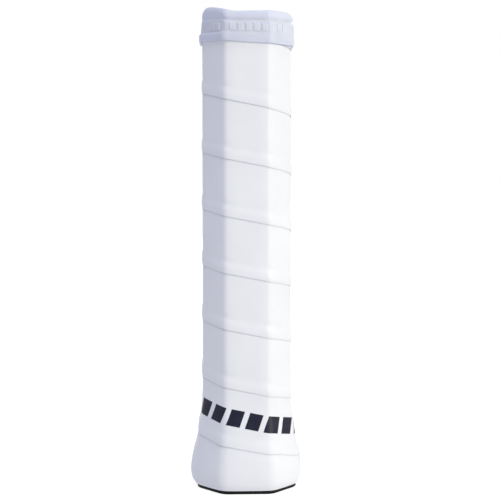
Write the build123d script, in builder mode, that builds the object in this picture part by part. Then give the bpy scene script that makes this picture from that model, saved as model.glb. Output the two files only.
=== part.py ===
"""Tennis racket handle with a wound replacement grip.

Two moulded handle shells close round the racket's shaft, and a flared butt cap slips over their
lower end and is stapled there.  A snap-in door closes the cap.  The grip, a strip of soft face on
felt backing, is wound up the handle from the butt, its end is held by finishing tape, and a rubber
collar covers that tape.

Millimetres.  Z runs up the handle from the butt, X is the wide way and Y the narrow way.  The
origin is on the handle's axis, in the plane that the butt cap stands on.
"""
from math import radians, tan
import os

from build123d import *

# The bare handle: an unequal octagon with its corners slightly rounded
handle_width = 31.6
handle_depth = 28.4
broad_facet = 16.1
handle_corner = 1.5
handle_top = 186.0
corner_turn = tan(radians(22.5))

# The socket that takes the racket's shaft, and the smaller chamber below it
shaft_width = 22.0
shaft_depth = 18.0
shaft_corner = 4.5
shaft_stop = 10.0
chamber_step = 2.0

# Pegs that line up the two shells
peg_radius = 1.2
peg_length = 2.5
peg_heights = (20.0, 72.0, 124.0, 172.0)
peg_play = 0.1
wall_middle = (shaft_width / 2 + handle_width / 2) / 2
neck_wall_middle = (shaft_width / 2 + handle_width / 2 - 1.3) / 2

# Double-sided strips that bond the shells to the shaft
bond_thickness = 0.3
bond_width = 12.0
bond_bottom = 40.0
bond_top = 180.0

# The butt cap: height, and how far its wall stands outside the bare handle's outline
cap_top = 34.0
cap_floor = 2.6
cap_rim_height = 1.6
cap_rim_grow = 4.1
cap_rim_chamfer = 0.2
cap_profile = [
    (cap_rim_height, 3.0),
    (2.6, 3.6),
    (4.2, 4.05),
    (7.4, 4.2),
    (10.6, 4.05),
    (13.8, 3.6),
    (17.0, 2.75),
    (20.2, 2.0),
    (24.0, 1.5),
    (29.7, 0.65),
    (cap_top, 0.0),
]
neck_grow = -1.3
neck_play = 0.05
cap_hollow_profile = [(cap_floor, 1.4), (7.4, 2.2), (10.6, 2.1), (17.0, 0.6), (23.0, -1.25)]
cap_rib = 1.2
cap_ribs_across = 4
shell_bottom = cap_floor + neck_play

# Cap staples: flat wire, one through the middle of each main facet
staple_crown = 10.0
staple_width = 1.2
staple_thickness = 0.55
staple_leg = 4.3
staple_height = 28.0
staple_sink = 0.25
staple_play = 0.05

# The finer staple that holds the start of the strip, on the back of the cap under the next turn
start_crown = 6.0
start_width = 1.0
start_thickness = 0.5
start_leg = 4.5
start_height = 5.0
start_depth_in_backing = 0.8

# The snap-in door in the cap's floor, with its badge
door_width = 26.0
door_depth = 22.0
door_corner = 5.0
door_seat = 1.6
door_thickness = 1.2
door_face = 0.35
door_play = 0.1
hatch_width = 16.0
hatch_depth = 12.0
hatch_corner = 3.0
finger_length = 4.5
finger_thickness = 1.2
finger_widths = (8.0, 5.0)
badge_inset = 2.2
badge_thickness = 0.5
badge_face = 0.25

# The grip: layer thicknesses at the butt and at the top
grip_bottom = cap_rim_height + 0.02
grip_top = 183.0
adhesive_layers = (0.15, 0.15)
backing_layers = (0.95, 0.75)
face_layers = (0.90, 0.72)
layer_gap = 0.02

# Finishing tape and rubber collar at the top end
finish_bottom = 178.0
finish_thickness = 0.12
finish_ease = 0.03
collar_bottom = 176.4
collar_bore = 1.84
collar_top = 189.0
collar_profile = [
    (collar_bottom, 2.4),
    (176.9, 2.7),
    (179.9, 2.7),
    (180.5, 2.4),
    (184.0, 2.2),
    (186.5, 1.75),
    (188.0, 1.35),
    (collar_top, 0.95),
]
collar_bore_profile = [
    (collar_bottom, collar_bore),
    (183.2, collar_bore),
    (184.6, 1.1),
    (collar_top, 0.3),
]


def octagon(grow):
    """Corner points of the handle's outline, moved outwards by grow on every facet."""
    half_width = handle_width / 2 + grow
    half_depth = handle_depth / 2 + grow
    half_broad = broad_facet / 2 + grow * corner_turn
    half_narrow = half_depth - (half_width - half_broad)
    quarter = [(half_width, half_narrow), (half_broad, half_depth)]
    upper = quarter + [(-x, y) for x, y in reversed(quarter)]
    return upper + [(-x, -y) for x, y in upper]


def section(height, grow):
    """The rounded octagon at one height, as a face."""
    with BuildSketch(Plane.XY.offset(height)) as outline:
        Polygon(*octagon(grow), align=None)
        fillet(outline.vertices(), handle_corner + grow)
    return outline.sketch.face()


def sections(profile):
    """Faces for a loft, one for each (height, grow) in the profile."""
    return [section(height, grow) for height, grow in profile]


def base_at(height):
    """How far the surface under the grip stands outside the bare handle at a height."""
    if height >= cap_top:
        return 0.0
    for (low, grow_low), (high, grow_high) in zip(cap_profile, cap_profile[1:]):
        if height <= high:
            return grow_low + (grow_high - grow_low) * (height - low) / (high - low)


def layer_profile(*layers):
    """Profile of the surface that stands the given layers, each (butt, top) thick, off the base."""
    heights = [grip_bottom] + [z for z, _ in cap_profile[1:]] + [grip_top]
    profile = []
    for z in heights:
        share = max(0.0, (z - cap_top) / (grip_top - cap_top))
        stack = sum(butt + (top - butt) * share for butt, top in layers)
        profile.append((z, base_at(z) + stack))
    return profile


def rounded_slot(height, width, depth, corner):
    """A rounded rectangle at one height, as a face."""
    with BuildSketch(Plane.XY.offset(height)) as outline:
        RectangleRounded(width, depth, corner)
    return outline.sketch.face()


def finish(part, label):
    """Labels a finished piece and writes its STEP file."""
    part.label = label
    export_step(part, f"parts/{label}.step")


os.makedirs("parts", exist_ok=True)

# --- Staples, made first because what they are driven through is cut for them ------------------


def staple(turn, height, outer, crown, width, thickness, leg, play=0.0, above=0.0):
    """A staple whose crown's outside stands at outer on the facet at that turn.

    With some play it is the slot that the staple sits in, which runs on above the crown.
    """
    legs_x = outer - leg / 2
    legs_y = (crown - thickness) / 2
    with BuildPart() as wire:
        with BuildSketch(Plane(origin=(0, 0, height)).rotated((0, 0, turn))):
            with Locations((outer - thickness / 2 + above / 2, 0)):
                Rectangle(thickness + 2 * play + above, crown + 2 * play)
            with Locations((legs_x, legs_y), (legs_x, -legs_y)):
                Rectangle(leg + 2 * play, thickness + 2 * play)
        extrude(amount=width / 2 + play, both=True)
    return wire.part


def cap_staple_set(play=0.0, above=0.0):
    """One cap staple, or its slot, for each of the four main facets."""
    size = (staple_crown, staple_width, staple_thickness, staple_leg)
    face = base_at(staple_height) - staple_sink
    reaches = (handle_width / 2, handle_depth / 2, handle_width / 2, handle_depth / 2)
    return [
        staple(90 * quarter, staple_height, reach + face, *size, play, above)
        for quarter, reach in enumerate(reaches)
    ]


def strip_staple(play=0.0):
    """The staple at the start of the strip, or its slot."""
    outer = handle_depth / 2 + base_at(start_height) + adhesive_layers[0] + start_depth_in_backing
    size = (start_crown, start_width, start_thickness, start_leg)
    return staple(90, start_height, outer, *size, play)


with BuildPart() as cap_staples:
    add(cap_staple_set())
finish(cap_staples.part, "cap_staples")

with BuildPart() as staple_slots:
    add(cap_staple_set(play=staple_play, above=1.0))

with BuildPart() as grip_start_staple:
    add(strip_staple())
finish(grip_start_staple.part, "grip_start_staple")

with BuildPart() as start_slot:
    add(strip_staple(play=staple_play))

# --- Handle shells ------------------------------------------------------------------------------
with BuildPart() as handle_core:
    extrude(section(shell_bottom, neck_grow), amount=cap_top - shell_bottom)
    extrude(section(cap_top, 0.0), amount=handle_top - cap_top)
    extrude(
        rounded_slot(shaft_stop, shaft_width, shaft_depth, shaft_corner),
        amount=handle_top - shaft_stop,
        mode=Mode.SUBTRACT,
    )
    extrude(
        rounded_slot(
            shell_bottom,
            shaft_width - 2 * chamber_step,
            shaft_depth - 2 * chamber_step,
            shaft_corner - 1.0,
        ),
        amount=shaft_stop - shell_bottom,
        mode=Mode.SUBTRACT,
    )
    add(staple_slots.part, mode=Mode.SUBTRACT)


def peg_places(lengthening):
    """Each peg as (x, height, radius, length): one pair at every peg height."""
    for height in peg_heights:
        reach = neck_wall_middle if height < cap_top else wall_middle
        for x in (reach, -reach):
            yield x, height, peg_radius + lengthening, peg_length + lengthening


with BuildPart() as pallet_front:
    add(handle_core.part)
    split(bisect_by=Plane.XZ, keep=Keep.TOP)
    for x, height, radius, length in peg_places(peg_play):
        with Locations(Plane(origin=(x, 0, height), z_dir=(0, -1, 0))):
            Cylinder(radius, length, align=(Align.CENTER, Align.CENTER, Align.MIN),
                     mode=Mode.SUBTRACT)
finish(pallet_front.part, "pallet_front")

with BuildPart() as pallet_back:
    add(handle_core.part)
    split(bisect_by=Plane.XZ, keep=Keep.BOTTOM)
    for x, height, radius, length in peg_places(0.0):
        with Locations(Plane(origin=(x, 0, height), z_dir=(0, -1, 0))):
            Cylinder(radius, length, align=(Align.CENTER, Align.CENTER, Align.MIN))
finish(pallet_back.part, "pallet_back")

with BuildPart() as shaft_bond_strips:
    for side in (-1, 1):
        middle = (0, side * (shaft_depth - bond_thickness) / 2, (bond_bottom + bond_top) / 2)
        with Locations(middle):
            Box(bond_width, bond_thickness, bond_top - bond_bottom)
finish(shaft_bond_strips.part, "shaft_bond_strips")

# --- Butt cap -----------------------------------------------------------------------------------
with BuildPart() as cap_body:
    loft(sections(cap_profile), ruled=True)

with BuildPart() as cap_ribs:
    with BuildSketch(Plane.XY.offset(cap_floor)):
        with PolarLocations(0, cap_ribs_across, angular_range=180, endpoint=False):
            Rectangle(2 * handle_width, cap_rib)
    extrude(amount=cap_top - cap_floor)
    add(cap_body.part, mode=Mode.INTERSECT)

with BuildPart() as butt_cap:
    add(cap_body.part)
    loft(sections(cap_hollow_profile), ruled=True, mode=Mode.SUBTRACT)
    add(cap_ribs.part)
    extrude(
        section(cap_floor, neck_grow + neck_play),
        amount=cap_top - cap_floor + 1.0,
        mode=Mode.SUBTRACT,
    )
    extrude(section(0.0, cap_rim_grow), amount=cap_rim_height)
    chamfer(butt_cap.faces().sort_by(Axis.Z)[0].edges(), cap_rim_chamfer)
    extrude(
        rounded_slot(0.0, door_width, door_depth, door_corner),
        amount=door_seat,
        mode=Mode.SUBTRACT,
    )
    extrude(
        rounded_slot(0.0, hatch_width, hatch_depth, hatch_corner),
        amount=cap_floor,
        mode=Mode.SUBTRACT,
    )
    add(staple_slots.part, mode=Mode.SUBTRACT)
    add(start_slot.part, mode=Mode.SUBTRACT)
finish(butt_cap.part, "butt_cap")

with BuildPart() as cap_door:
    extrude(
        rounded_slot(
            door_face,
            door_width - 2 * door_play,
            door_depth - 2 * door_play,
            door_corner - door_play,
        ),
        amount=door_thickness,
    )
    chamfer(cap_door.faces().sort_by(Axis.Z)[0].edges(), 0.25)
    finger_foot = door_face + door_thickness
    long_y = hatch_depth / 2 - door_play - finger_thickness / 2
    short_x = hatch_width / 2 - door_play - finger_thickness / 2
    with BuildSketch(Plane.XY.offset(finger_foot)):
        with Locations((0, long_y), (0, -long_y)):
            Rectangle(finger_widths[0], finger_thickness)
        with Locations((short_x, 0), (-short_x, 0)):
            Rectangle(finger_thickness, finger_widths[1])
    extrude(amount=finger_length)
    # Pocket for the badge
    extrude(
        rounded_slot(
            door_face,
            door_width - 2 * badge_inset + 2 * door_play,
            door_depth - 2 * badge_inset + 2 * door_play,
            door_corner - badge_inset + door_play,
        ),
        amount=badge_face + badge_thickness - door_face + layer_gap,
        mode=Mode.SUBTRACT,
    )
finish(cap_door.part, "cap_door")

with BuildPart() as door_badge:
    extrude(
        rounded_slot(
            badge_face,
            door_width - 2 * badge_inset,
            door_depth - 2 * badge_inset,
            door_corner - badge_inset,
        ),
        amount=badge_thickness,
    )
    chamfer(door_badge.faces().sort_by(Axis.Z)[0].edges(), 0.15)
finish(door_badge.part, "door_badge")

# --- Grip layers: plain closed sleeves of the wound strip's outer shape ---------------------------
gap_layer = (layer_gap, layer_gap)
under_adhesive = layer_profile(gap_layer)
over_adhesive = layer_profile(adhesive_layers)
under_backing = layer_profile(adhesive_layers, gap_layer)
over_backing = layer_profile(adhesive_layers, backing_layers)
under_face = layer_profile(adhesive_layers, backing_layers, gap_layer)
over_face = layer_profile(adhesive_layers, backing_layers, face_layers)

with BuildPart() as grip_adhesive:
    loft(sections(over_adhesive), ruled=True)
    loft(sections(under_adhesive), ruled=True, mode=Mode.SUBTRACT)
    add(start_slot.part, mode=Mode.SUBTRACT)
finish(grip_adhesive.part, "grip_adhesive")

with BuildPart() as grip_backing:
    loft(sections(over_backing), ruled=True)
    loft(sections(under_backing), ruled=True, mode=Mode.SUBTRACT)
    add(start_slot.part, mode=Mode.SUBTRACT)
finish(grip_backing.part, "grip_backing")

with BuildPart() as grip_face:
    loft(sections(over_face), ruled=True)
    loft(sections(under_face), ruled=True, mode=Mode.SUBTRACT)
finish(grip_face.part, "grip_face")

# --- Finishing tape and collar --------------------------------------------------------------------
# The grip is a little thicker where the tape starts than at its top edge
grip_at_finish = over_face[-1][1] + finish_ease

with BuildPart() as finishing_tape:
    extrude(
        section(finish_bottom, grip_at_finish + finish_thickness),
        amount=grip_top - finish_bottom,
    )
    extrude(
        section(finish_bottom, grip_at_finish),
        amount=grip_top - finish_bottom,
        mode=Mode.SUBTRACT,
    )
finish(finishing_tape.part, "finishing_tape")

with BuildPart() as collar:
    loft(sections(collar_profile), ruled=True)
    loft(sections(collar_bore_profile), ruled=True, mode=Mode.SUBTRACT)
finish(collar.part, "collar")
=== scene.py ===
"""Looks for a wound racket grip: a soft strip in overlapping turns, a printed row and a rubber collar.

Metres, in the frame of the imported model: +Z up the handle from the butt, a broad facet facing -Y.
"""
import math

import bmesh
import bpy
import numpy as np
from bpy.props import FloatProperty, FloatVectorProperty, IntProperty, PointerProperty
from bpy.types import Operator, Panel, PropertyGroup
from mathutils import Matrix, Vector, noise


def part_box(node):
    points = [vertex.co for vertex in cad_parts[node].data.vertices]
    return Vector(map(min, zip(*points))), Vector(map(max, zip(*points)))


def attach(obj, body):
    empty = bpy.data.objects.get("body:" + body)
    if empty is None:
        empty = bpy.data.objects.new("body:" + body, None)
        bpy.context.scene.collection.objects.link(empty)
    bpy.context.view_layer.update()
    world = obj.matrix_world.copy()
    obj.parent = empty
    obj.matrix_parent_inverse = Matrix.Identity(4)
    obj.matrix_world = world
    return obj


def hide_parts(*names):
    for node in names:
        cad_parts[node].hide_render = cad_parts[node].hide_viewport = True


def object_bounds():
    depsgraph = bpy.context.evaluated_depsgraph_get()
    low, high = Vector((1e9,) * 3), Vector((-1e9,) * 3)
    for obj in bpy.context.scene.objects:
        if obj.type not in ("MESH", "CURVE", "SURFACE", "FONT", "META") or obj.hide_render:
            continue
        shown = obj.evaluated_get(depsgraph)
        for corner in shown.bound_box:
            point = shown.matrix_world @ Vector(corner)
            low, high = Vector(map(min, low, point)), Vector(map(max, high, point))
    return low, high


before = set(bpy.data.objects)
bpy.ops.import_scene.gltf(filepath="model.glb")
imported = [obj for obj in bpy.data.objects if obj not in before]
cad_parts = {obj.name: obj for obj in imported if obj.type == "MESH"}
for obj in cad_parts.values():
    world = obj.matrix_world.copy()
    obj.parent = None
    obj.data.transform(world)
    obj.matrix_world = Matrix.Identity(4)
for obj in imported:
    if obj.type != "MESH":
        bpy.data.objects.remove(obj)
cad_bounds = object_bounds()

bl_info = {
    "name": "Wound racket grip",
    "version": (1, 0, 0),
    "blender": (4, 5, 0),
    "location": "3D View > Sidebar > Grip",
    "description": "Winds a soft strip on a racket handle, and adds its print, collar and finishes",
    "category": "Object",
}

MM = 0.001


def linear(code):
    """The linear RGB of an sRGB hex colour such as "#F2F2F4"."""
    parts = [int(code[i : i + 2], 16) / 255 for i in (1, 3, 5)]
    return tuple(c / 12.92 if c <= 0.04045 else ((c + 0.055) / 1.055) ** 2.4 for c in parts)


# --- Settings that a user would change ---


def length(name, description, millimetres):
    """A length property with its default given in millimetres."""
    return FloatProperty(
        name=name,
        description=description,
        default=millimetres * MM,
        min=0.0,
        precision=5,
        unit="LENGTH",
    )


def colour(name, description, code):
    """A colour property with its default given as sRGB hex."""
    return FloatVectorProperty(
        name=name,
        description=description,
        default=linear(code),
        min=0.0,
        max=1.0,
        subtype="COLOR",
    )


class GripStripSettings(PropertyGroup):
    """Sizes and colours of the wound strip."""

    width: length("Width", "Width that the strip is cut to", 27.0)
    pitch: length("Pitch", "How far the strip climbs in one turn", 22.6)
    first_seam: length("First seam", "Height of the lowest seam at the middle of the front facet", 17.45)
    face: length("Face", "Thickness of the soft face", 0.9)
    skived: length("Skived edge", "Thickness that the strip's edges are shaved to", 0.35)
    step: length("Step", "How far a turn's lower edge stands proud of the turn below", 0.33)
    face_colour: colour("Face colour", "The soft white face", "#F3F3F7")
    # the edge grey is partly the felt showing at the shaved edge and partly painted shade for the
    # crevice under each seam
    edge_and_shade_colour: colour("Edge colour", "The shaved edge, where the felt shows", "#D4D5DC")
    felt_colour: colour("Felt colour", "The felt under the face", "#DCDCDD")


class PrintSettings(PropertyGroup):
    """The printed row of bars near the butt."""

    bars: IntProperty(name="Bars", description="How many bars the row has", default=8, min=1)
    bar: length("Bar width", "Width of one bar along the strip", 5.2)
    gap: length("Gap", "Space between two bars along the strip", 2.1)
    height: length("Height", "Height of the bars", 6.6)
    above_seam: length("Above seam", "Height of the bars' lower ends above the strip's edge", 8.4)
    slant: length("Slant", "How far a bar's top leans along the strip", 2.2)
    ink_colour: colour("Ink colour", "The dark screen ink", "#14152A")


class CollarSettings(PropertyGroup):
    """The rubber collar at the top."""

    lip: length("Lip", "How far the bottom lip stands outside the bore", 1.05)
    band: length("Band", "How far the band stands outside the bore", 0.62)
    pad: length("Pads", "Height of the moulded pads", 0.25)
    rubber_colour: colour("Rubber colour", "The milky rubber", "#DFE2F0")


class StudioSettings(PropertyGroup):
    """The camera and the light."""

    distance: length("Camera distance", "From the camera to the handle's axis", 430.0)
    aside: length("Camera offset", "How far the camera stands to the left of the handle", 13.0)
    eye: length("Eye height", "The camera's height above the floor", 130.0)
    key: FloatProperty(name="Key", description="Power of the key light", default=12.5, unit="POWER")
    back: FloatProperty(name="Back", description="Power of the light behind", default=8.0, unit="POWER")
    top: FloatProperty(name="Top", description="Power of the overhead light", default=3.5, unit="POWER")
    floor_colour: colour("Floor colour", "The pale studio floor", "#A3A3A5")


# --- Small helpers ---


def smooth(x):
    """An S-curve from 0 at x = 0 to 1 at x = 1."""
    x = np.clip(x, 0.0, 1.0)
    return x * x * (3 - 2 * x)


def bell(x):
    """A bell curve, 1 at x = 0 and close to 0 past x = 2."""
    return np.exp(-(x**2))


def deselect():
    """Leaves object mode with nothing selected."""
    if bpy.context.object and bpy.context.object.mode != "OBJECT":
        bpy.ops.object.mode_set(mode="OBJECT")
    bpy.ops.object.select_all(action="DESELECT")


def activate(piece):
    """Makes a piece the only one selected, and the active one."""
    deselect()
    piece.select_set(True)
    bpy.context.view_layer.objects.active = piece


def mesh_piece(name, points, faces):
    """A new object from points and faces, with its normals facing outwards."""
    mesh = bpy.data.meshes.new(name)
    mesh.from_pydata(points, [], faces)
    piece = bpy.data.objects.new(name, mesh)
    bpy.context.scene.collection.objects.link(piece)
    activate(piece)
    bpy.ops.object.mode_set(mode="EDIT")
    bpy.ops.mesh.select_all(action="SELECT")
    bpy.ops.mesh.normals_make_consistent(inside=False)
    bpy.ops.object.mode_set(mode="OBJECT")
    return piece


def finish_piece(piece, body, material, nodes=()):
    """Gives a piece its finish and its body, and hides the CAD nodes that it stands for."""
    piece.data.materials.clear()
    piece.data.materials.append(material)
    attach(piece, body)
    if nodes:
        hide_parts(*nodes)
    return piece


def select_in_edit(piece, kind, test):
    """Selects the vertices, edges or faces of the piece in edit mode that pass a test."""
    cage = bmesh.from_edit_mesh(piece.data)
    bpy.ops.mesh.select_all(action="DESELECT")
    bpy.context.tool_settings.mesh_select_mode = [kind == k for k in ("verts", "edges", "faces")]
    for item in getattr(cage, kind):
        item.select_set(bool(test(item)))
    cage.select_flush_mode()
    bmesh.update_edit_mesh(piece.data)


def middle(item):
    """The middle of an edge or face."""
    return sum((v.co for v in item.verts), Vector()) / len(item.verts)


# --- The handle's outline, read from the CAD nodes ---

SHELL_LOW, SHELL_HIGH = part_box("pallet_front")
BROAD_FACET = 16.1 * MM
CORNER = 1.5 * MM
WOUND_RADIUS = 3.4 * MM  # the corner radius at the strip's middle, where lengths are counted
CORNER_TURN = math.tan(math.radians(22.5))
SAME_PLACE = 0.02 * MM  # points closer than this are at one height
HEIGHT_STEP, KINK_STEPS = 0.25 * MM, 13  # a sleeve's kinks are rounded over this many steps
CORE_X = SHELL_HIGH.x - CORNER
CORE_Y = -SHELL_LOW.y - CORNER
FLAT_X = BROAD_FACET / 2 - CORNER * CORNER_TURN
FLAT_Y = CORE_Y - (CORE_X - FLAT_X)


def outline_table():
    """The outline as stretches, clockwise from above from the middle of the front facet.

    A flat stretch moves the centre of the corner radius and keeps the normal, and a corner turns the
    normal and keeps the centre. Returns where each stretch starts, its centres and its normals' angles.
    """
    corners = [(-FLAT_X, -CORE_Y), (-CORE_X, -FLAT_Y), (-CORE_X, FLAT_Y), (-FLAT_X, CORE_Y)]
    corners += [(-x, -y) for x, y in corners]
    front = (0.0, -CORE_Y)
    centres = [front] + [c for corner in corners for c in (corner, corner)] + [front]
    turns = [-math.pi / 2 - math.pi / 4 * k for k in range(9) for _ in range(2)]
    steps = [
        math.dist(a, b) or WOUND_RADIUS * math.pi / 4 for a, b in zip(centres, centres[1:])
    ]
    return np.concatenate([[0.0], np.cumsum(steps)]), np.array(centres), np.array(turns)


STARTS, CENTRES, TURNS = outline_table()
AROUND = STARTS[-1]
CORNER_MIDDLES = (STARTS[1:-1:2] + STARTS[2::2]) / 2


def outline(arc):
    """Corner-radius centre and outward normal at distances round the handle."""
    arc = np.mod(arc, AROUND)
    k = np.clip(np.searchsorted(STARTS, arc, side="right") - 1, 0, len(STARTS) - 2)
    share = (arc - STARTS[k]) / (STARTS[k + 1] - STARTS[k])
    centre = CENTRES[k] + share[..., None] * (CENTRES[k + 1] - CENTRES[k])
    angle = TURNS[k] + share * (TURNS[k + 1] - TURNS[k])
    return centre, np.stack([np.cos(angle), np.sin(angle)], axis=-1)


def sleeve_radius(node):
    """A function from height to a CAD sleeve's outside, as its corner radius, with kinks rounded off."""
    points = np.array([v.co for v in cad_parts[node].data.vertices])
    points = points[np.abs(points[:, 1]) < FLAT_Y + SAME_PLACE]
    levels = np.unique(np.round(points[:, 2], 5))
    reach = [points[np.abs(points[:, 2] - z) < SAME_PLACE, 0].max() - CORE_X for z in levels]
    heights = np.arange(levels[0], levels[-1], HEIGHT_STEP)
    raw = np.interp(heights, levels, reach)
    window = np.hanning(KINK_STEPS)
    padded = np.pad(raw, len(window) // 2, mode="reflect", reflect_type="odd")
    rounded = np.convolve(padded, window / window.sum(), mode="valid")
    return lambda z: np.interp(z, heights, rounded)


under_radius = sleeve_radius("grip_adhesive")
outer_radius = sleeve_radius("grip_face")
RIM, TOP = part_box("grip_face")[0].z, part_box("grip_face")[1].z


# --- The wound strip ---

# Hand winding: the spacing opens and closes over several turns, and the edge wanders a little
DRIFT, DRIFT_RATE, DRIFT_START = 0.4 * MM, 1.14, -0.8
WANDERS = ((0.14 * MM, 17 * MM, 0.7), (0.10 * MM, 41 * MM, 2.1))  # height, reach and start of a wave
STEERED, STEERED_FROM, STEERED_OVER = 2.9 * MM, 6.2, 0.7  # the last turn comes up under the collar
EASED, EASED_AT, EASED_REACH = 0.35 * MM, -9 * MM, 8 * MM  # the first lifts over the flare's corner
SLIVER = 1.5 * MM  # the strip starts and ends where less than this of its width would show
MOST_TURNS, SEARCH_STEP = (-3, 12), 0.5 * MM  # where its start and end are looked for

# Across the strip: its laps, and the ridge that an edge below makes
SMALLEST_LAP, LAP_BLEND = 0.5 * MM, 8 * MM
PRESSED_FROM, PRESSED_OVER = 166 * MM, 7 * MM  # up the handle, where the ridges are squeezed flat
RIDGE_FROM, RIDGE_OVER = 2.4 * MM, 2.6 * MM
HOLLOW_AT, HOLLOW_REACH, HOLLOW_DEPTH = 5.2 * MM, 1.1 * MM, 0.26 * MM
HOLLOW_ON_FLATS = 0.2  # the share of the hollow's depth that it has between the corners
CORNER_REACH, CORNER_THINNER = 2.4 * MM, 0.2 * MM  # it is stretched thinner over the corners
EDGE_DROP, EDGE_ROLL, EDGE_ROUND, GROOVE = 0.9 * MM, 0.4 * MM, 1.3 * MM, 0.05 * MM
EDGE_LOSS = 0.9  # the share of the step that its rounding takes off the very edge
CRISP_AT, CRISP_POWER = 0.035, 1.3  # an edge is crisp on the broad facets and soft on the narrow ones
THINNEST, LAYER_GAP = 0.05 * MM, 0.02 * MM

# The swelling over the strip's folded start, low on the flare's left: in turns, and up the handle
SWELLING, SWELLING_TURN, SWELLING_TURNS = 0.7 * MM, 0.2, 0.13
SWELLING_Z, SWELLING_REACH, SWELLING_FROM, SWELLING_OVER = 6.6 * MM, 5.4 * MM, 1.6 * MM, 2.5 * MM

RIPPLE_SIZE, FACE_RIPPLE, PRINT_RIPPLE = 14 * MM, 0.06 * MM, 0.05 * MM

# The strip's mesh: cross-sections along it, and in each the shares of the width that get a point
CORNER_STEPS, FLAT_STEP, NARROWEST = 6, 1.5 * MM, 0.4 * MM
EVEN_ROWS = np.linspace(0, 1, 30)
ROWS = 0.45 * (1 - np.cos(np.pi * EVEN_ROWS)) / 2 + 0.55 * EVEN_ROWS  # closer together near the edges
ROWS = np.unique(np.concatenate([[0.0, 0.002, 0.006, 0.012, 0.02], ROWS, [0.985, 0.995]]))
BACK_ROWS = ROWS.searchsorted([0.1, 0.2, 0.35, 0.5, 0.65, 0.8, 0.9])
BACK_ROWS = np.concatenate([[0], BACK_ROWS, [len(ROWS) - 1]])[::-1]
EDGE_AND_SHADE_REACH = 0.5 * MM  # how far the edge grey reaches up from the lower edge: the felt at the cut, and painted shade in the seam's crevice
STRIP_SHARP = 50  # degrees; edges that turn more than this are drawn sharp
FELT_FROM, FELT_SHARE = 0.09, 0.82  # the felt is shaved off near both of the strip's edges


def lower_edge(arc, strip):
    """Height of the strip's lower edge at distances along it; 0 is the lowest seam's front middle."""
    turn = arc / AROUND
    low = strip.first_seam + strip.pitch * turn + DRIFT * np.sin(DRIFT_RATE * turn + DRIFT_START)
    for height, reach, start in WANDERS:
        low = low + height * np.sin(arc / reach + start)
    low = low + STEERED * smooth((turn - STEERED_FROM) / STEERED_OVER)
    return low + EASED * bell((arc - EASED_AT) / EASED_REACH)


def strip_range(strip):
    """Where the strip starts, with a sliver above the rim, and ends, with a sliver under the top."""
    arcs = np.arange(MOST_TURNS[0] * AROUND, MOST_TURNS[1] * AROUND, SEARCH_STEP)
    low = lower_edge(arcs, strip)
    inside = arcs[(low + strip.width > RIM + SLIVER) & (low < TOP - SLIVER)]
    return inside[0], inside[-1]


def strip_layers(arc, above, strip):
    """How far the strip's inside and outside stand off the handle, at heights above its lower edge."""
    first, last = strip_range(strip)
    low = lower_edge(arc, strip)
    z = low + above
    full = outer_radius(z) - under_radius(z)
    lap_below = np.maximum(lower_edge(arc - AROUND, strip) + strip.width - low, SMALLEST_LAP)
    lap_above = np.maximum(low + strip.width - lower_edge(arc + AROUND, strip), SMALLEST_LAP)
    covers = smooth((arc - first - AROUND) / LAP_BLEND)
    covered = 1 - smooth((arc - last + AROUND) / LAP_BLEND)
    pressed = 1 - smooth((z - PRESSED_FROM) / PRESSED_OVER)
    # the inside rests on the shaved edge below, and drops to the handle past it
    shaved = full - (full - strip.skived) * smooth(above / lap_below)
    beyond = strip.skived * (1 - smooth((above - lap_below) / EDGE_DROP))
    inside = covers * np.where(above < lap_below, shaved + LAYER_GAP, beyond)
    # the outside: a low ridge over the edge below with a hollow above it, a little thinner over the
    # corners, and a shaved edge under the turn above
    to_corner = np.abs(np.mod(arc, AROUND)[..., None] - CORNER_MIDDLES).min(axis=-1)
    at_corner = bell(to_corner / CORNER_REACH)
    ridge = strip.step * (1 - smooth((above - RIDGE_FROM) / RIDGE_OVER))
    hollow = HOLLOW_DEPTH * bell((above - HOLLOW_AT) / HOLLOW_REACH)
    ridge = ridge - hollow * (HOLLOW_ON_FLATS + (1 - HOLLOW_ON_FLATS) * at_corner)
    crisp = (0.5 + 0.5 * np.cos(4 * np.pi * (arc / AROUND - CRISP_AT))) ** CRISP_POWER
    hidden = above - (strip.width - lap_above)
    groove = GROOVE * crisp * smooth(1 + hidden / EDGE_DROP) * (hidden < 0)
    thin = (full - strip.skived) * smooth(hidden / lap_above)
    outside = full + covers * pressed * ridge - covered * (groove + thin) - CORNER_THINNER * at_corner
    rolled = 1 - np.sqrt(1 - np.clip(1 - above / EDGE_ROLL, 0, 1) ** 2)
    rounded = 1 - smooth(above / EDGE_ROUND)
    outside = outside - covers * EDGE_LOSS * strip.step * (crisp * rolled + (1 - crisp) * rounded)
    return inside, np.maximum(outside, inside + THINNEST)


def swelling(arc, z):
    """How far the strip's folded start lifts the first turn."""
    round_handle = np.mod(arc / AROUND + 0.5, 1.0) - 0.5
    across = bell((round_handle - SWELLING_TURN) / SWELLING_TURNS)
    up = bell((z - SWELLING_Z) / SWELLING_REACH) * smooth((z - SWELLING_FROM) / SWELLING_OVER)
    return SWELLING * across * up


def ripple(points, height):
    """Soft random swelling of the given height at each point."""
    swell = np.array([noise.noise(Vector(p) / RIPPLE_SIZE) for p in points.reshape(-1, 3)])
    return swell.reshape(points.shape[:-1]) * height


def on_handle(arc, z, stand_off):
    """Points that stand off the handle by a distance, round its outline at heights."""
    centre, normal = outline(arc)
    flat = centre + normal * (under_radius(z) + stand_off)[..., None]
    return np.concatenate([flat, z[..., None]], axis=-1)


def stations(first, last):
    """Distances along the strip for its cross-sections: close at the corners, and wider on the flats."""
    turn = []
    for k, (a, b) in enumerate(zip(STARTS, STARTS[1:])):
        count = CORNER_STEPS if k % 2 else max(2, round((b - a) / FLAT_STEP))
        turn += list(a + (b - a) * np.arange(count) / count)
    turns = range(math.floor(first / AROUND), math.ceil(last / AROUND) + 1)
    arcs = np.array([a + AROUND * t for t in turns for a in turn])
    return arcs[(arcs >= first) & (arcs <= last)]


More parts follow.
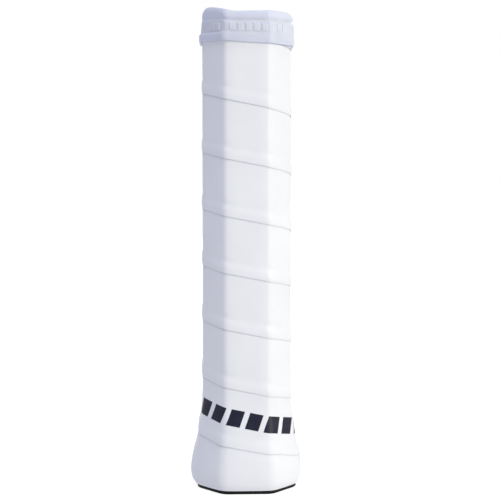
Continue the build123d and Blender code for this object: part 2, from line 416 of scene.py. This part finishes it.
def strip_sheet(name, strip, from_share, to_share, layer_inside, layer_outside):
    """A closed sheet wound on the handle, between two layers and two shares of the strip's width.

    Returns it with the length that it is cut to.
    """
    first, last = strip_range(strip)
    arcs = stations(first, last)
    low = lower_edge(arcs, strip)
    begin = np.maximum(from_share * strip.width, RIM - low)
    end = np.minimum(to_share * strip.width, TOP - low)
    keep = end - begin > NARROWEST
    arcs, low, begin, end = arcs[keep], low[keep], begin[keep], end[keep]
    above = begin[:, None] + (end - begin)[:, None] * ROWS
    arc = np.broadcast_to(arcs[:, None], above.shape)
    z = low[:, None] + above
    inside, outside = strip_layers(arc, above, strip)
    inner = on_handle(arc, z, layer_inside(inside, outside))
    outer = on_handle(arc, z, layer_outside(inside, outside))
    lift = ripple(outer, FACE_RIPPLE) + swelling(arc, z)
    outer[..., :2] += outline(arc)[1] * lift[..., None]
    # each cross-section runs up the outside and back down fewer points of the inside
    rings = np.concatenate([outer, inner[:, BACK_ROWS]], axis=1)
    count, size = rings.shape[:2]
    faces = [
        (r * size + i, r * size + (i + 1) % size, (r + 1) * size + (i + 1) % size, (r + 1) * size + i)
        for r in range(count - 1)
        for i in range(size)
    ]
    faces += [tuple(range(size)), tuple(range((count - 1) * size, count * size))]
    piece = mesh_piece(name, rings.reshape(-1, 3).tolist(), faces)
    # mask for the grey at the lower edge: partly the felt showing at the cut, partly painted shade where
    # the seam's crevice is
    edge = 1 - smooth(above / EDGE_AND_SHADE_REACH)
    edge = np.concatenate([edge, np.ones((count, len(BACK_ROWS)))], axis=1)
    cut = piece.data.attributes.new("cut_edge", "FLOAT", "POINT")
    cut.data.foreach_set("value", edge.astype(np.float32).ravel())
    bpy.ops.object.shade_smooth_by_angle(angle=math.radians(STRIP_SHARP))
    return piece, last - first


class GRIP_OT_strip(Operator):
    """Winds the strip's soft face and the felt under it on the handle"""

    bl_idname = "grip.strip"
    bl_label = "Wound strip"

    def execute(self, context):
        strip = context.scene.grip_strip
        face, cut = strip_sheet(
            "wound_face",
            strip,
            0.0,
            1.0,
            lambda inside, outside: np.maximum(inside, outside - strip.face),
            lambda inside, outside: outside,
        )
        finish_piece(face, "handle", polyurethane_face(strip), ["grip_face"])
        under_face = strip.face + 3 * LAYER_GAP
        felt, cut = strip_sheet(
            "wound_felt",
            strip,
            FELT_FROM,
            FELT_FROM + FELT_SHARE,
            lambda inside, outside: inside,
            lambda inside, outside: np.maximum(inside + LAYER_GAP, outside - under_face),
        )
        finish_piece(felt, "handle", needled_felt(strip), ["grip_backing"])
        return {"FINISHED"}


# --- The printed bars ---

# the film is drawn thicker than the real ink, so that it stays clear of the face
INK_ABOVE, INK_BELOW = 0.06 * MM, 0.10 * MM
BAR_POINTS = 9  # points along each side of a bar
BARS_SHARP = 40  # degrees, as for the strip


class GRIP_OT_print(Operator):
    """Prints a plain row of slanted bars on the strip near the butt"""

    bl_idname = "grip.print"
    bl_label = "Printed bars"

    def execute(self, context):
        strip, row = context.scene.grip_strip, context.scene.grip_print
        pitch = row.bar + row.gap
        along = np.linspace(0, row.bar, BAR_POINTS)[None, :]
        up = np.linspace(0, row.height, BAR_POINTS)[:, None]
        points, faces = [], []
        for bar in range(row.bars):
            start = (bar - row.bars / 2) * pitch
            arc = -(start + along + row.slant * (up / row.height - 0.5))
            z = strip.first_seam + row.above_seam + strip.pitch * arc / AROUND + up
            outside = strip_layers(arc, z - lower_edge(arc, strip), strip)[1]
            top = on_handle(arc, z, outside + INK_ABOVE)
            top[..., :2] += outline(arc)[1] * ripple(top, PRINT_RIPPLE)[..., None]
            bottom = on_handle(arc, z, outside - INK_BELOW)
            points.append(np.stack([top, bottom]).reshape(-1, 3))
            faces += closed_slab(BAR_POINTS, bar * 2 * BAR_POINTS**2)
        bars = mesh_piece("printed_bars", np.concatenate(points).tolist(), faces)
        bpy.ops.object.shade_smooth_by_angle(angle=math.radians(BARS_SHARP))
        finish_piece(bars, "handle", screen_ink(row))
        return {"FINISHED"}


def closed_slab(side, start):
    """Faces of a thin closed slab: two square grids of points, and walls round their border."""
    layer = side * side
    faces = []
    for r in range(side - 1):
        for c in range(side - 1):
            a = start + r * side + c
            quad = (a, a + 1, a + side + 1, a + side)
            faces += [quad, tuple(i + layer for i in reversed(quad))]
    border = list(range(side))
    border += [r * side + side - 1 for r in range(1, side)]
    border += [(side - 1) * side + c for c in range(side - 2, -1, -1)]
    border += [r * side for r in range(side - 2, 0, -1)]
    for a, b in zip(border, border[1:] + border[:1]):
        faces.append((start + a, start + a + layer, start + b + layer, start + b))
    return faces


# --- The rubber collar ---

BORE_CLEARANCE, TOP_BELOW = 0.07 * MM, 0.6 * MM  # over the finishing tape, and under the CAD's top
ROUND_STEPS = 5  # edges round each of the tube's corners
COLLAR_SHARP = 60  # degrees, as for the strip

# The outside in mm: height over the bottom edge, and how far it stands out from the lip or the band
LIP_LEVELS = ((0.0, -0.3), (0.3, -0.05), (1.3, 0.0), (2.7, -0.04), (3.3, -0.2))
BAND_LEVELS = (
    (3.8, 0.02), (4.4, 0.0), (7.5, -0.12), (7.9, -0.45), (8.4, -0.95), (8.9, -0.42), (9.7, -0.24),
    (10.7, -0.55), (11.5, -1.1),
)
TOP_LEVEL = -1.6
SAME_LEVEL = 0.05 * MM  # points closer than this are on one level
# The inside in mm, from the top edge down and then over the bottom edge: the lip hugs the grip
INSIDE_FROM_TOP = ((-0.1, -1.45), (-3.6, -0.75))
INSIDE_FROM_BOTTOM = ((7.0, 0.0), (2.0, 0.0), (1.3, -0.24), (0.15, -0.32))

# The pads: each row's facet, by the way that it faces in degrees, and how many pads it has
PAD_ROWS = ((-90, 5), (-135, 2), (-45, 2))
PAD, PAD_GAP, PAD_SLOPE, PAD_LOW, PAD_HIGH = 2.2 * MM, 0.9 * MM, 0.14 * MM, 4.3 * MM, 7.2 * MM
BAND_REACH = 2.6 * MM  # half the height of the band's flat faces
FACES_ALIKE = 0.998  # the least that a face of a facet agrees with the way that the facet faces

# How it sits crooked: its top edge is pulled up, most at the left front, and its lip dips and waves
CORNER_LIFT, RIGHT_LIFT, FRONT_LIFT, TOP_WAVE = 2.3 * MM, 0.45 * MM, 0.15 * MM, 0.1 * MM
LIP_DIP, LIP_WAVE = 0.045 * MM, 0.12 * MM
BAND_SHIFT, TOP_SHIFT = 0.35 * MM, 0.6 * MM  # to the right


class GRIP_OT_collar(Operator):
    """Moulds the rubber collar: an eight-sided ring with a lip, a band of pads and a rolled top"""

    bl_idname = "grip.collar"
    bl_label = "Rubber collar"

    def execute(self, context):
        size = context.scene.grip_collar
        low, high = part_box("collar")
        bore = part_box("finishing_tape")[1].x - CORE_X + BORE_CLEARANCE
        top = high.z - TOP_BELOW
        ring = self.octagonal_tube(low.z, top, bore)
        self.shape_outside(ring, low.z, top, size, bore)
        self.close_bore(ring, low.z, top, bore)
        activate(ring)
        rounding = ring.modifiers.new("Rounding", "SUBSURF")
        rounding.levels = rounding.render_levels = 2
        bpy.ops.object.modifier_apply(modifier=rounding.name)
        self.raise_pads(ring, low.z, size)
        self.settle(ring, low.z, high.z, bore)
        finish_piece(ring, "collar", milky_rubber(size), ["collar"])
        return {"FINISHED"}

    def octagonal_tube(self, bottom, top, radius):
        """An open tube with the handle's outline, standing the radius off its core."""
        deselect()
        half_x, half_y = CORE_X + radius, CORE_Y + radius
        bpy.ops.mesh.primitive_cube_add(size=1, location=(0, 0, (bottom + top) / 2))
        ring = bpy.context.object
        ring.name = "rubber_collar"
        bpy.ops.transform.resize(value=(2 * half_x, 2 * half_y, top - bottom))
        bpy.ops.object.transform_apply(location=True, rotation=True, scale=True)
        bpy.ops.object.mode_set(mode="EDIT")

        def upright(edge):
            return abs(edge.verts[0].co.z - edge.verts[1].co.z) > (top - bottom) / 2

        select_in_edit(ring, "edges", upright)
        chamfer = half_x - FLAT_X - radius * CORNER_TURN
        bpy.ops.mesh.bevel(offset=chamfer, segments=1, affect="EDGES")
        select_in_edit(ring, "edges", upright)
        bpy.ops.mesh.bevel(offset=radius * CORNER_TURN, segments=ROUND_STEPS, affect="EDGES")
        # the two ends go, which leaves an open tube
        select_in_edit(ring, "faces", lambda face: abs(face.normal.z) > 0.9)
        bpy.ops.mesh.delete(type="ONLY_FACE")
        return ring

    def shape_outside(self, ring, bottom, top, size, bore):
        """Cuts the tube at its levels, and moves each level out or in."""
        levels = [(height * MM, size.lip + out * MM) for height, out in LIP_LEVELS]
        levels += [(height * MM, size.band + out * MM) for height, out in BAND_LEVELS]
        levels.append((top - bottom, size.band + TOP_LEVEL * MM))
        for height, _ in levels[1:-1]:
            bpy.ops.mesh.select_all(action="SELECT")
            bpy.ops.mesh.bisect(plane_co=(0, 0, bottom + height), plane_no=(0, 0, 1))
        half_x, half_y = CORE_X + bore, CORE_Y + bore
        for height, out in levels:
            z = bottom + height
            select_in_edit(ring, "verts", lambda v: abs(v.co.z - z) < SAME_LEVEL)
            bpy.ops.transform.resize(
                value=((half_x + out) / half_x, (half_y + out) / half_y, 1),
                center_override=(0, 0, z),
            )

    def raise_pads(self, ring, bottom, size):
        """Raises a row of plain pads on the band's front facet and on the two beside it."""
        low, high = bottom + PAD_LOW, bottom + PAD_HIGH
        activate(ring)
        bpy.ops.object.mode_set(mode="EDIT")
        for turn, pads in PAD_ROWS:
            out = Vector((math.cos(math.radians(turn)), math.sin(math.radians(turn)), 0))
            along = Vector((-out.y, out.x, 0))
            row = pads * PAD + (pads - 1) * PAD_GAP
            starts = [-row / 2 + k * (PAD + PAD_GAP) for k in range(pads)]

            def on_band(face):
                flat = Vector((face.normal.x, face.normal.y, 0)).normalized()
                near = abs(middle(face).z - (low + high) / 2) < BAND_REACH
                return near and flat.dot(out) > FACES_ALIKE

            def on_pad(face):
                at = middle(face)
                in_row = any(start < at.dot(along) < start + PAD for start in starts)
                return on_band(face) and in_row and low < at.z < high

            cuts = [(Vector((0, 0, z)), Vector((0, 0, 1))) for z in (low, high)]
            cuts += [(along * edge, along) for start in starts for edge in (start, start + PAD)]
            for place, across in cuts:
                select_in_edit(ring, "faces", on_band)
                bpy.ops.mesh.bisect(plane_co=place, plane_no=across)
            select_in_edit(ring, "faces", on_pad)
            bpy.ops.mesh.inset(thickness=PAD_SLOPE, depth=size.pad)
        bpy.ops.object.mode_set(mode="OBJECT")

    def close_bore(self, ring, bottom, top, bore):
        """Rolls the top edge over and runs the wall down inside, back to the bottom edge."""
        inside = [(top + z * MM, out * MM) for z, out in INSIDE_FROM_TOP]
        inside += [(bottom + z * MM, out * MM) for z, out in INSIDE_FROM_BOTTOM]
        select_in_edit(ring, "edges", lambda e: e.is_boundary and middle(e).z > (bottom + top) / 2)
        here_z = top
        for z, out in inside:
            bpy.ops.mesh.extrude_edges_move(TRANSFORM_OT_translate={"value": (0, 0, z - here_z)})
            cage = bmesh.from_edit_mesh(ring.data)
            reach = max(v.co.x for v in cage.verts if v.select)
            deep = max(v.co.y for v in cage.verts if v.select)
            bpy.ops.transform.resize(
                value=((CORE_X + bore + out) / reach, (CORE_Y + bore + out) / deep, 1),
                center_override=(0, 0, z),
            )
            here_z = z
        select_in_edit(ring, "edges", lambda e: e.is_boundary)
        bpy.ops.mesh.bridge_edge_loops()
        bpy.ops.mesh.select_all(action="SELECT")
        bpy.ops.mesh.normals_make_consistent(inside=False)
        bpy.ops.object.mode_set(mode="OBJECT")

    def settle(self, ring, bottom, top, bore):
        """Seats the ring as rubber sits: a little crooked, with a pulled-up corner.

        Each effect fades in over some millimetres up the ring (upper, lower) or across it (x, y).
        """
        mesh = ring.data
        place = np.array([v.co for v in mesh.vertices])
        height = place[:, 2] - bottom
        upper = smooth((height - 5 * MM) / (top - bottom - 5 * MM))
        lower = 1 - smooth(height / (7 * MM))
        # how far each point stands off the handle's eight sides, to tell the outside from the bore
        angles = np.arange(8) * math.pi / 4
        normals = np.stack([np.cos(angles), np.sin(angles)])
        slant = (FLAT_X + CORE_Y) * math.sqrt(0.5)
        stand_off = (place[:, :2] @ normals - [CORE_X, slant, CORE_Y, slant] * 2).max(axis=1)
        skin = smooth((stand_off - bore - 0.1 * MM) / (0.35 * MM))
        x, y = place[:, 0] / MM, place[:, 1] / MM  # to the right, and to the back
        corner = smooth((-x - 4) / 12) * smooth((4 - y) / 14)
        wave = RIGHT_LIFT * smooth((x - 4) / 12) + FRONT_LIFT * smooth((-y - 4) / 10)
        wave = wave + TOP_WAVE * np.sin(x / 4)
        place[:, 2] += upper * (CORNER_LIFT * corner + wave)
        place[:, 2] -= lower * (LIP_DIP * x + LIP_WAVE * np.sin(x / 5 + 0.5))
        place[:, 0] += BAND_SHIFT * skin * smooth((height - 3.2 * MM) / (0.7 * MM))
        place[:, 0] += TOP_SHIFT * upper * smooth((-x - 9) / 8)
        mesh.vertices.foreach_set("co", place.ravel())
        mesh.update()
        bpy.ops.object.shade_smooth_by_angle(angle=math.radians(COLLAR_SHARP))


# --- Materials ---


def add(tree, kind, inputs=None, **settings):
    """Adds a node with its settings, and fills or links its inputs."""
    node = tree.nodes.new(kind)
    for name, value in settings.items():
        setattr(node, name, value)
    for name, value in (inputs or {}).items():
        if isinstance(value, bpy.types.NodeSocket):
            tree.links.new(value, node.inputs[name])
        else:
            node.inputs[name].default_value = value
    return node


def new_material(name, **shader_values):
    """A material with one shader, whose plain values are set by their names with _ for spaces."""
    material = bpy.data.materials.new(name)
    material.use_nodes = True
    shader = material.node_tree.nodes["Principled BSDF"]
    for key, value in shader_values.items():
        shader.inputs[key.replace("_", " ")].default_value = value
    return material, material.node_tree, shader


def tone(tree, position, low, high, scale, detail=3.0, band=(0.3, 0.7)):
    """A colour that wanders between two tones in patches; scale is patches in a metre."""
    patches = add(
        tree,
        "ShaderNodeTexNoise",
        {"Vector": position, "Scale": scale, "Detail": detail, "Roughness": 0.55},
    )
    ramp = add(tree, "ShaderNodeValToRGB", {"Fac": patches.outputs["Fac"]})
    ramp.color_ramp.elements[0].position, ramp.color_ramp.elements[1].position = band
    ramp.color_ramp.elements[0].color = (*low, 1)
    ramp.color_ramp.elements[1].color = (*high, 1)
    return ramp.outputs["Color"], patches.outputs["Fac"]


def per_metre(millimetres):
    """A texture's scale for features of a real size."""
    return 1 / (millimetres * MM)


def polyurethane_face(strip):
    """Coagulated polyurethane on felt, embossed: soft, white, dull, with a fine pored grain."""
    white = tuple(strip.face_colour)
    material, tree, shader = new_material(
        "Polyurethane face, embossed", IOR=1.5, Subsurface_Weight=0.12, Subsurface_Scale=0.0006,
        Subsurface_Radius=(1.0, 1.0, 1.0), Sheen_Weight=0.15, Sheen_Roughness=0.5,
    )
    at = add(tree, "ShaderNodeTexCoord").outputs["Object"]
    patches, amount = tone(
        tree, at, tuple(0.955 * c for c in white), white, per_metre(18.0), detail=4.0
    )
    # darker grey at the strip's lower edge: partly the felt showing at the cut, partly painted shade in
    # the crevice under each seam
    edge = add(tree, "ShaderNodeAttribute", attribute_name="cut_edge")
    edge_and_shade_tint = add(
        tree,
        "ShaderNodeMix",
        {0: edge.outputs["Fac"], 6: patches, 7: (*strip.edge_and_shade_colour, 1)},
        data_type="RGBA",
    )
    tree.links.new(edge_and_shade_tint.outputs[2], shader.inputs["Base Color"])
    # pores are about 0.25 mm apart; drawn at 0.6 mm so that they show
    pores = add(tree, "ShaderNodeTexVoronoi", {"Vector": at, "Scale": per_metre(0.6)})
    grain = add(tree, "ShaderNodeTexNoise", {"Vector": at, "Scale": per_metre(1.4), "Detail": 4.0})
    relief = add(
        tree,
        "ShaderNodeMath",
        {0: pores.outputs["Distance"], 1: grain.outputs["Fac"]},
        operation="ADD",
    )
    bump = add(
        tree,
        "ShaderNodeBump",
        {"Height": relief.outputs[0], "Strength": 0.35, "Distance": 0.03 * MM},
    )
    tree.links.new(bump.outputs["Normal"], shader.inputs["Normal"])
    rough = add(tree, "ShaderNodeMapRange", {"Value": amount, "To Min": 0.48, "To Max": 0.6})
    tree.links.new(rough.outputs["Result"], shader.inputs["Roughness"])
    return material


def needled_felt(strip):
    """Needled polyester felt: off-white, fully matt, with loose fibres."""
    grey = tuple(strip.felt_colour)
    material, tree, shader = new_material(
        "Polyester felt, needled", Roughness=0.95, Sheen_Weight=0.4, IOR=1.5
    )
    at = add(tree, "ShaderNodeTexCoord").outputs["Object"]
    patches, amount = tone(tree, at, tuple(0.8 * c for c in grey), grey, per_metre(0.8), detail=6.0)
    tree.links.new(patches, shader.inputs["Base Color"])
    bump = add(
        tree, "ShaderNodeBump", {"Height": amount, "Strength": 0.8, "Distance": 0.1 * MM}
    )
    tree.links.new(bump.outputs["Normal"], shader.inputs["Normal"])
    return material


def screen_ink(row):
    """Screen ink on polyurethane: near black with a blue cast, a thin even film with a soft gloss."""
    ink = tuple(row.ink_colour)
    material, tree, shader = new_material("Screen ink, printed", IOR=1.5, Specular_IOR_Level=0.25)
    at = add(tree, "ShaderNodeTexCoord").outputs["Object"]
    lighter = tuple(min(1.0, 1.6 * c + 0.004) for c in ink)
    patches, amount = tone(tree, at, ink, lighter, per_metre(2.5), detail=5.0, band=(0.35, 0.85))
    tree.links.new(patches, shader.inputs["Base Color"])
    pores = add(tree, "ShaderNodeTexVoronoi", {"Vector": at, "Scale": per_metre(0.6)})
    bump = add(
        tree,
        "ShaderNodeBump",
        {"Height": pores.outputs["Distance"], "Strength": 0.3, "Distance": 0.03 * MM},
    )
    tree.links.new(bump.outputs["Normal"], shader.inputs["Normal"])
    rough = add(tree, "ShaderNodeMapRange", {"Value": amount, "To Min": 0.36, "To Max": 0.5})
    tree.links.new(rough.outputs["Result"], shader.inputs["Roughness"])
    return material


def milky_rubber(size):
    """Thermoplastic rubber, moulded: milky and slightly see-through, with a smooth satin skin."""
    milky = tuple(size.rubber_colour)
    material, tree, shader = new_material(
        "Thermoplastic rubber, moulded", IOR=1.48, Subsurface_Weight=0.5, Subsurface_Scale=0.0012,
        Subsurface_Radius=(0.9, 1.0, 1.3), Specular_IOR_Level=0.35,
    )
    at = add(tree, "ShaderNodeTexCoord").outputs["Object"]
    patches, amount = tone(tree, at, tuple(0.9 * c for c in milky), milky, per_metre(9.0))
    tree.links.new(patches, shader.inputs["Base Color"])
    skin = add(tree, "ShaderNodeTexNoise", {"Vector": at, "Scale": per_metre(0.9), "Detail": 3.0})
    bump = add(
        tree,
        "ShaderNodeBump",
        {"Height": skin.outputs["Fac"], "Strength": 0.2, "Distance": 0.03 * MM},
    )
    tree.links.new(bump.outputs["Normal"], shader.inputs["Normal"])
    rough = add(tree, "ShaderNodeMapRange", {"Value": amount, "To Min": 0.46, "To Max": 0.58})
    tree.links.new(rough.outputs["Result"], shader.inputs["Roughness"])
    return material


def solid_finish(name, code, rough, grain_mm, depth_mm, spread=0.75, metallic=0.0, specular=0.5):
    """A plain finish: its colour in patches, and a skin of grain, both of a real size."""
    base = linear(code)
    material, tree, shader = new_material(name, Metallic=metallic, Specular_IOR_Level=specular)
    at = add(tree, "ShaderNodeTexCoord").outputs["Object"]
    patches, amount = tone(tree, at, tuple(spread * c for c in base), base, per_metre(6.0))
    tree.links.new(patches, shader.inputs["Base Color"])
    grain = add(tree, "ShaderNodeTexNoise", {"Vector": at, "Scale": per_metre(grain_mm), "Detail": 4.0})
    bump = add(
        tree,
        "ShaderNodeBump",
        {"Height": grain.outputs["Fac"], "Strength": 0.5, "Distance": depth_mm * MM},
    )
    tree.links.new(bump.outputs["Normal"], shader.inputs["Normal"])
    dull = add(tree, "ShaderNodeMapRange", {"Value": amount, "To Min": rough[0], "To Max": rough[1]})
    tree.links.new(dull.outputs["Result"], shader.inputs["Roughness"])
    return material


class GRIP_OT_finishes(Operator):
    """Gives the CAD pieces that stay their own finishes"""

    bl_idname = "grip.finishes"
    bl_label = "Finishes of the handle's own pieces"

    def execute(self, context):
        finishes = {
            # glass-filled nylon: black, satin, with a fine spark-eroded texture
            ("butt_cap", "cap_door"): solid_finish(
                "Nylon, moulded", "#0B0B0F", (0.5, 0.62), 0.5, 0.03, specular=0.15
            ),
            # a polished insert of ABS: smooth and glossy
            ("door_badge",): solid_finish("ABS, polished", "#D9DADF", (0.18, 0.26), 3.0, 0.01, 0.94),
            # rigid polyurethane foam: tan, dull, with pores in its skin
            ("pallet_front", "pallet_back"): solid_finish(
                "Polyurethane foam, moulded", "#C9B991", (0.7, 0.85), 0.7, 0.08, 0.82
            ),
            # foam tape with adhesive on both sides: cream and dull
            ("shaft_bond_strips",): solid_finish(
                "Foam tape, die-cut", "#D8D2BE", (0.7, 0.9), 0.5, 0.05, 0.85
            ),
            # acrylic adhesive film: faintly yellow, with a wet sheen
            ("grip_adhesive",): solid_finish(
                "Acrylic adhesive, cast", "#DFD9C2", (0.25, 0.4), 1.5, 0.03, 0.9
            ),
            # stretched vinyl tape: white and glossy
            ("finishing_tape",): solid_finish(
                "Vinyl tape, calendered", "#EDEDF0", (0.25, 0.35), 1.2, 0.02, 0.93
            ),
            # galvanised wire: bright grey metal, drawn smooth
            ("cap_staples", "grip_start_staple"): solid_finish(
                "Galvanised steel wire, drawn", "#B9BBBE", (0.3, 0.42), 0.3, 0.01, 0.85, 1.0
            ),
        }
        for names, material in finishes.items():
            for name in names:
                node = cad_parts[name]
                node.data.materials.clear()
                node.data.materials.append(material)
        return {"FINISHED"}


# --- The studio ---

FLOOR_SIZE, FLOOR_GLOW, FILL = 12, 0.84, 0.62
SENSOR, LENS = 36.0, 76.9  # mm
LOOK_DOWN, LOOK_RIGHT = 4.625, 0.2  # degrees under level, and to the right of the handle


def softbox(name, target, power, where, size, code):
    """A square area light at a place, facing a target."""
    light = bpy.data.lights.new(name, "AREA")
    light.size, light.energy, light.color = size, power, linear(code)
    lamp = bpy.data.objects.new(name, light)
    bpy.context.scene.collection.objects.link(lamp)
    lamp.location = where
    lamp.rotation_euler = (Vector(target) - Vector(where)).to_track_quat("-Z", "Y").to_euler()


class GRIP_OT_studio(Operator):
    """Sets the pale floor, the soft lights and the camera"""

    bl_idname = "grip.studio"
    bl_label = "Studio"

    def execute(self, context):
        studio = context.scene.grip_studio
        self.floor(studio)
        self.surroundings(context.scene)
        centre = (0, 0, cad_bounds[1].z / 2)
        softbox("Key", centre, studio.key, where=(1.12, -0.94, 0.36), size=0.7, code="#FFFEE7")
        softbox("Top", centre, studio.top, where=(-0.2, -0.3, 1.3), size=0.9, code="#ECEFFF")
        softbox("Back", centre, studio.back, where=(0.2, 1.3, 0.45), size=0.8, code="#FFFEF4")
        self.camera(context.scene, studio)
        return {"FINISHED"}

    def floor(self, studio):
        """A wide pale sheet at the handle's foot, which glows a little so that it stays near white."""
        deselect()
        bpy.ops.mesh.primitive_plane_add(size=FLOOR_SIZE)
        floor = bpy.context.object
        floor.name = "studio_floor"
        material, tree, shader = new_material("Paper sweep, white", Roughness=0.9)
        shader.inputs["Base Color"].default_value = (*studio.floor_colour, 1)
        shader.inputs["Emission Color"].default_value = (1, 1, 1, 1)
        shader.inputs["Emission Strength"].default_value = FLOOR_GLOW
        floor.data.materials.append(material)
        floor.visible_diffuse = False  # the fill on the handle comes from the room alone

    def surroundings(self, scene):
        """White behind the object, and a dimmer, slightly blue room as fill light."""
        world = bpy.data.worlds.new("Studio")
        world.use_nodes = True
        tree = world.node_tree
        backdrop = tree.nodes["Background"]
        backdrop.inputs["Color"].default_value = (1, 1, 1, 1)
        room = add(tree, "ShaderNodeBackground", {"Color": (*linear("#E9ECFB"), 1), "Strength": FILL})
        seen = add(tree, "ShaderNodeLightPath")
        mix = add(
            tree,
            "ShaderNodeMixShader",
            {0: seen.outputs["Is Camera Ray"], 1: room.outputs[0], 2: backdrop.outputs[0]},
        )
        tree.links.new(mix.outputs[0], tree.nodes["World Output"].inputs["Surface"])
        scene.world = world
        scene.view_settings.view_transform = "Standard"

    def camera(self, scene, studio):
        """A camera in front of the handle, a little to its left and above, looking down at it."""
        lens = bpy.data.cameras.new("Camera")
        lens.sensor_width, lens.lens = SENSOR, LENS
        camera = bpy.data.objects.new("Camera", lens)
        scene.collection.objects.link(camera)
        camera.location = (-studio.aside, -studio.distance, studio.eye)
        facing = math.atan(studio.aside / studio.distance) + math.radians(LOOK_RIGHT)
        camera.rotation_euler = (math.radians(90 - LOOK_DOWN), 0, -facing)
        scene.camera = camera


class GRIP_PT_panel(Panel):
    """Lists the grip's pieces"""

    bl_label = "Wound racket grip"
    bl_idname = "GRIP_PT_panel"
    bl_space_type = "VIEW_3D"
    bl_region_type = "UI"
    bl_category = "Grip"

    def draw(self, context):
        for operator in OPERATORS:
            self.layout.operator(operator.bl_idname)


SETTINGS = {
    "grip_strip": GripStripSettings,
    "grip_print": PrintSettings,
    "grip_collar": CollarSettings,
    "grip_studio": StudioSettings,
}
OPERATORS = (GRIP_OT_studio, GRIP_OT_strip, GRIP_OT_print, GRIP_OT_collar, GRIP_OT_finishes)


def register():
    """Registers the classes, and hangs the settings on the scene."""
    for group in (*SETTINGS.values(), *OPERATORS, GRIP_PT_panel):
        bpy.utils.register_class(group)
    for name, group in SETTINGS.items():
        setattr(bpy.types.Scene, name, PointerProperty(type=group))


def unregister():
    """Takes everything off again."""
    for name in SETTINGS:
        delattr(bpy.types.Scene, name)
    for group in reversed((*SETTINGS.values(), *OPERATORS, GRIP_PT_panel)):
        bpy.utils.unregister_class(group)


def main():
    """Makes every piece in order."""
    register()
    bpy.ops.grip.studio()
    bpy.ops.grip.strip()
    bpy.ops.grip.print()
    bpy.ops.grip.collar()
    bpy.ops.grip.finishes()


if __name__ == "__main__":
    main()
